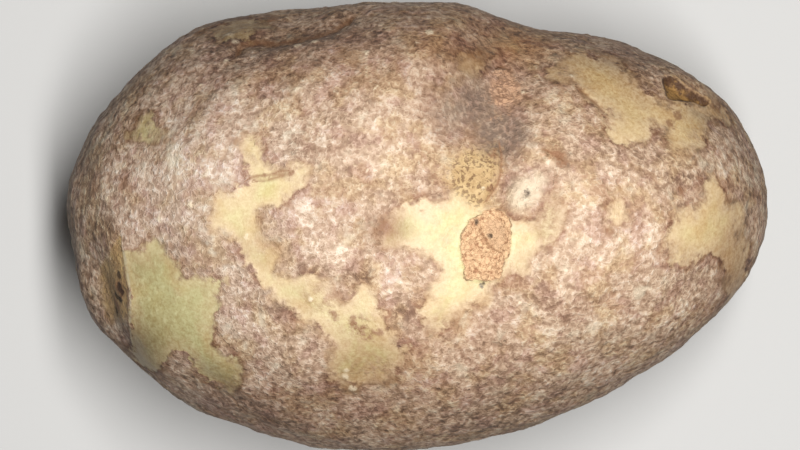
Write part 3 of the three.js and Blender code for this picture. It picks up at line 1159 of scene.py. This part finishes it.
# scurf: a tone from fine lumps, pale crinkles, small pits and slow clouds, lifted where it is
# darkest, then soft tints, the darker lines between colonies and the darker margin by healthy skin
def scurfColour(paint, place, mark, n):
    look, facing = scurfLook, 1 - mark["flank"]
    tone = n.fineOff * look["fine"] + (n.crinkle - 0.35) * look["crinkle"]
    tone = tone + (0.42 - n.pebbles) * look["pebble"] - n.pits * look["pit"]
    tone = look["middle"] + tone * (look["strength"] + mark["flank"] * look["strengthOnFlank"])
    tone = tone + n.mediumOff * (look["medium"] + mark["flank"] * look["mediumOnFlank"])
    tone = tone + n.cloudOff * look["cloud"]
    tone = tone + (look["darkest"] - tone).orMore(0) * facing * look["lift"]
    tone = tone + (n.crinkle - 0.35) * facing * look["topCrinkle"]
    tone = tone + mark["silver"] * look["silver"] - mark["dusk"] * look["dusk"]
    share = skinColours["fullLight"]
    stops = [(at, [c / share for c in linear(*colour)]) for at, colour in skinColours["scurfTones"]]
    scurf = paint.ramp(tone, stops)
    scurf = paint.tinted(n.hue.step(0.5, 0.36), scurf, "mauve")
    scurf = paint.tinted(n.warmth.step(0.46, 0.62), scurf, "olive")
    scurf = paint.blend(n.hue.step(0.56, 0.7) * look["cream"], scurf, skinTone("scurfCream"))
    wave = paint.vectors("MULTIPLY", n.bend, (skinGrain["colonyWave"],) * 3)
    between = paint.cells(paint.vectors("ADD", place, wave), skinGrain["colony"], "DISTANCE_TO_EDGE")
    between = (between + n.fineOff * 0.16).step(0.2, 0.0) * n.cloud.step(0.36, 0.56)
    scurf = paint.tinted(between * look["betweenColonies"], scurf, "betweenColonies")
    scurf = paint.tinted(mark["cool"], scurf, "cool")
    margin = (n.edge + n.cloudOff * 2.0).step(-1.4, -0.2) * (n.medium.step(0.34, 0.58) * 0.6 + 0.4)
    # the margin by healthy skin is tinted darker on the flanks, as painted shade
    marginTint = paint.blend(mark["flank"].step(0.1, 0.7), skinTint("nearMargin"), skinTint("shadedMargin"))
    scurf = paint.blend(margin, scurf, marginTint, "MULTIPLY")
    brownLine = (n.edge + 0.3).band(0.4) * n.cloud.step(0.4, 0.56) * (0.2 + mark["flank"] * 0.6)
    scurf = paint.tinted(brownLine, scurf, "brownLine")
    dusky = mark["dusk"] * n.fine.step(0.66, 0.4) * look["duskColour"]
    return paint.blend(dusky, scurf, skinTone("dusk"))


# healthy skin: even, with slow mottling, ochre and green shares, a tan rim and a very fine grain
def healthyColour(paint, mark, n):
    look = healthyLook
    mottled = n.mediumOff * 1.4 + n.cloudOff * 1.6 + 0.45
    healthy = paint.blend(mottled.step(0.1, 1.0), skinTone("healthy"), skinTone("healthyDeep"))
    healthy = paint.blend(mark["ochre"], healthy, skinTone("ochreTint"))
    healthy = paint.blend(mark["green"], healthy, skinTone("greenTint"))
    flecks = mark["green"] * n.fine.step(0.52, 0.7) * look["greenFleck"]
    healthy = paint.blend(flecks, healthy, skinTone("greenFleck"))
    deep = mark["green"] * n.medium.step(0.5, 0.32) * look["greenDeep"]
    healthy = paint.blend(deep, healthy, skinTone("greenDeep"))
    rim = n.edge.step(look["rimWidth"], 0.0) * (1 - mark["green"] * 0.5) * look["rim"]
    healthy = paint.blend(rim, healthy, skinTone("healthyRim"))
    healthy = paint.tinted(n.warmth.step(0.5, 0.66) * look["cloud"], healthy, "healthyCloud")
    mottle = n.grain.step(0.66, 0.3) * look["grain"] + n.fine.step(0.64, 0.34) * look["grain"]
    return paint.tinted(mottle * (0.6 + mark["flank"] * 0.9), healthy, "healthyGrain")


# the colour with its speckled zone, dark smudge, russet net and ochre stain
def cloudedColour(paint, mark, n, colour, pepperHere, pepperDots):
    cover = markCover
    pepper = paint.blend(n.medium.step(0.4, 0.62) * 0.6, skinTone("pepper"), skinTone("pepperPale"))
    pepper = paint.blend(pepperDots * cover["pepperDot"], pepper, skinTone("pepperDot"))
    colour = paint.tinted(mark["tan"] * (0.7 + n.medium * 0.6), colour, "tan")
    colour = paint.tinted(mark["stain"] * (0.6 + n.medium * 0.8), colour, "stain")
    colour = paint.blend(pepperHere * cover["pepper"], colour, pepper)
    # the dark grey-brown blotch, with a grainy edge
    blotchCover = (mark["soot"] + n.mediumOff * 0.9 + n.fineOff * 0.8).step(0.1, 1.0)
    blotchCover = blotchCover * (cover["soot"] + n.fine.step(0.6, 0.42) * cover["darkBlotchGrain"])
    colour = paint.blend(blotchCover, colour, skinTone("soot"))
    netting = abs(paint.noise(n.bent, skinGrain["netting"], 3, 0.6) - 0.5).step(0.1, 0.02)
    net = paint.blend(netting * cover["russetNet"], skinTone("russet"), skinTone("russetNet"))
    russetHere = (mark["russet"] + n.mediumOff * 1.4 + n.fineOff * 1.2).step(0.2, 0.9)
    return paint.blend(russetHere * cover["russet"], colour, net)


# the colour with the ring spot and the crust of the main eye
def eyeColour(paint, mark, n, colour, crustEdge):
    cover = markCover
    ring = mark["ringSpot"] + n.mediumOff * 1.6
    colour = paint.tinted((ring + 0.6).band(0.8) * cover["ringEdge"], colour, "ringEdge")
    core = ring.step(-1.0, 2.0) * (cover["ringSpot"] + n.fine.step(0.3, 0.55) * cover["ringGrain"])
    colour = paint.blend(core, colour, skinTone("ringSpot"))
    deep = n.wrinkle * cover["crustWrinkle"] + n.fine.step(0.54, 0.34) * cover["crustDeep"]
    crust = paint.blend(deep, skinTone("crust"), skinTone("crustDeep"))
    dots = (n.dotCells - n.dotSize * 0.7 + n.grainOff * 0.4).step(0.24, 0.04)
    crust = paint.blend(dots * cover["crustDot"], crust, skinTone("crustDot"))
    dish = (mark["dish"] + n.mediumOff * 1.2).step(-0.3, 0.8)
    crust = paint.blend(dish * cover["dish"], crust, skinTone("dish"))
    colour = paint.blend(crustEdge.step(-0.2, 0.2), colour, crust)
    rimLine = crustEdge.band(0.16) * (n.medium * 0.6 + n.cloud * 0.4).step(0.47, 0.56)
    return paint.blend(rimLine * cover["rimLine"], colour, skinTone("rimLine"))


# the colour with the stem-end pocket, its olive-brown partly its own colour and partly painted shade in
# the recess, a painted highlight along its lip, the wound and its rim
def brokenColour(paint, mark, n, colour):
    cover = markCover
    # the pocket's olive-brown over the recess: partly its own colour, partly painted shade
    deep = (n.medium * 0.6 + n.fine * 0.4).step(0.66, 0.36)
    brown = paint.blend(deep * cover["pocketDeep"], skinTone("pocket"), skinTone("pocketDeep"))
    pocketHere = (mark["pocket"] + n.mediumOff * 0.6).step(0.2, 0.9)
    colour = paint.blend(pocketHere * cover["pocket"], colour, brown)
    # a pale line along the lip: painted highlight
    lipHighlight = (mark["lip"] + 0.2).band(0.2) * n.medium.step(0.4, 0.55)
    colour = paint.blend(lipHighlight * cover["lip"], colour, skinTone("lip"))
    pit = mark["wound"] + n.fineOff * 0.7
    deep = (pit + n.mediumOff * 2.4 + n.grainOff * 0.8).step(0.9, 0.1)
    hollow = paint.blend(deep, skinTone("wound"), skinTone("woundDeep"))
    colour = paint.blend(pit.step(-0.08, 0.12), colour, hollow)
    torn = (pit + 0.2).band(0.13) * n.medium.step(0.44, 0.56)
    return paint.blend(torn * cover["woundRim"], colour, skinTone("woundRim"))


# the colour with its creases, whose dark bottoms are partly painted shade, its brown marks, dots and
# lenticels, then darkened on the flanks by painted shade
def finishedColour(paint, mark, n, colour):
    cover = markCover
    # groove bottoms painted dark brown: partly their own colour, partly painted shade
    crease = (mark["crease"] + n.fineOff * 0.5).band(0.3)
    colour = paint.blend(crease * cover["crease"], colour, skinTone("crease"))
    broken = n.fineOff * 1.2 + n.mediumOff * 1.2
    brown = (mark["brown"] + broken * 2.0).step(-0.5, 0.5)
    colour = paint.blend(brown * cover["brown"], colour, skinTone("brown"))
    dots = (mark["dots"] + broken * 0.9).step(-0.3, 0.15)
    colour = paint.blend(dots * cover["dot"], colour, skinTone("dot"))
    specks = (mark["specks"] + broken).step(-0.2, 0.4)
    colour = paint.blend(specks * cover["speck"], colour, skinTone("speck"))
    # painted shade on the sides
    return paint.tinted(mark["flank"] * cover["flank"], colour, "flank")


def skinMaterial():
    paint = Paint("potato_skin")
    place = paint.vectors("MULTIPLY", paint.add("ShaderNodeTexCoord", out="Object"), (1 / mm,) * 3)
    mark = {name: paint.attribute(name) for name in markNames}
    n = skinNoises(paint, place, mark)

    # where the skin is healthy: a soft or a sharp border by turns, less where scurf veils it
    soft = (0.42 + n.hue.step(0.4, 0.62) * 1.1) * (1 - mark["green"] * 0.5)
    veil = mark["veil"] * (n.medium * 0.7 + n.fine * 0.3).step(0.42, 0.6)
    isHealthy = (n.edge / soft).step(-1.0, 1.0) * (1 - veil)
    pepperHere = (mark["pepper"] + n.ragged * 0.6).step(-1.4, 1.6)
    speckle = paint.noise(n.bent, skinGrain["speckle"], 3, 0.7)
    pepperDots = (speckle + (0.4 - n.dotCells) * 0.25 + n.mediumOff * 0.35).step(0.47, 0.6)
    crustEdge = mark["crust"] + n.fineOff * 1.0 + n.mediumOff * 0.7

    scurf, healthy = scurfColour(paint, place, mark, n), healthyColour(paint, mark, n)
    colour = paint.blend(isHealthy, scurf, healthy)
    colour = cloudedColour(paint, mark, n, colour, pepperHere, pepperDots)
    colour = eyeColour(paint, mark, n, colour, crustEdge)
    colour = brokenColour(paint, mark, n, colour)
    colour = finishedColour(paint, mark, n, colour)

    rough = (1 - isHealthy).orMore(pepperHere * 0.7).orMore(crustEdge.step(-0.2, 0.2))
    height = n.fine * (0.5 + 1.3 * rough) + n.medium * 0.6 * rough + n.grain * 0.3
    height = height + (n.crinkle * 0.4 - n.pebbles * 0.7 - n.pits * 0.5) * rough
    height = height - n.wrinkle * crustEdge.step(-0.1, 0.1) * 0.5 - pepperDots * pepperHere * 0.4
    look = skinSurface
    bump = {"Strength": look["bumpStrength"], "Distance": look["bumpDepth"] * mm, "Height": height}
    gloss = look["roughness"] + rough * look["scurfRoughness"] + n.fineOff * look["grainRoughness"]
    shader = paint.add("ShaderNodeBsdfPrincipled", {}, {
        "Base Color": colour,
        "Roughness": gloss,
        "Normal": paint.add("ShaderNodeBump", {}, bump),
        "Specular IOR Level": look["specular"],
    })
    return paint.finish(shader)


# studio

studio = {
    "floorHalf": 3.0,
    "floorColour": (0.38, 0.375, 0.365, 1),
    "floorRoughness": 0.75,
    "lampsFace": (0, 0, 0.03),
    "keyPlace": (0.08, 0.0, 0.62),
    "keySize": (0.5, 0.08),
    "keyPower": 7.7,
    "fillPlace": (0.0, 0.0, 1.6),
    "fillSize": (1.6, 1.6),
    "fillPower": 1.0,
    "sky": (1.0, 0.985, 0.96, 1.0),
    "skyStrength": 0.06,
    "lens": 180,
    "sensor": 36,
    "clip": (0.01, 20),
}


def floorMaterial():
    paint = Paint("studio_floor")
    finish = {"Base Color": studio["floorColour"], "Roughness": studio["floorRoughness"]}
    return paint.finish(paint.add("ShaderNodeBsdfPrincipled", {}, finish))


def makeFloor():
    size = studio["floorHalf"]
    corners = [(-size, -size, 0), (size, -size, 0), (size, size, 0), (-size, size, 0)]
    mesh = bpy.data.meshes.new("studio_floor")
    mesh.from_pydata(corners, [], [(0, 1, 2, 3)])
    floor = bpy.data.objects.new("studio_floor", mesh)
    bpy.context.scene.collection.objects.link(floor)
    mesh.materials.append(floorMaterial())


# a lamp, turned to face the middle of the tuber
def makeLight(name, place, size, power):
    light = bpy.data.lights.new(name, "AREA")
    light.shape, light.energy = "RECTANGLE", power
    light.size, light.size_y = size
    lamp = bpy.data.objects.new(name, light)
    lamp.location = place
    towards = Vector(studio["lampsFace"]) - Vector(place)
    lamp.rotation_euler = towards.to_track_quat("-Z", "Y").to_euler()
    bpy.context.scene.collection.objects.link(lamp)


# the camera, which looks straight down from the place of sight
def makeCamera():
    camera = bpy.data.cameras.new("camera")
    camera.lens, camera.sensor_width = studio["lens"], studio["sensor"]
    camera.clip_start, camera.clip_end = studio["clip"]
    stand = bpy.data.objects.new("camera", camera)
    height = sight["above"] + sight["middle"]
    stand.location = (sight["x"] * mm, sight["y"] * mm, height * mm)
    bpy.context.scene.collection.objects.link(stand)
    bpy.context.scene.camera = stand


def makeStudio():
    makeFloor()
    makeLight("key", studio["keyPlace"], studio["keySize"], studio["keyPower"])
    makeLight("fill", studio["fillPlace"], studio["fillSize"], studio["fillPower"])
    world = bpy.data.worlds.new("sky")
    world.use_nodes = True
    backdrop = world.node_tree.nodes["Background"]
    backdrop.inputs["Color"].default_value = studio["sky"]
    backdrop.inputs["Strength"].default_value = studio["skyStrength"]
    bpy.context.scene.world = world
    bpy.context.scene.view_settings.view_transform = "Standard"
    makeCamera()


potato = makePotato()
potato.data.materials.append(skinMaterial())
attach(potato, "root")
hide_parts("potato")
print("potato made")
makeStudio()
print("studio made")
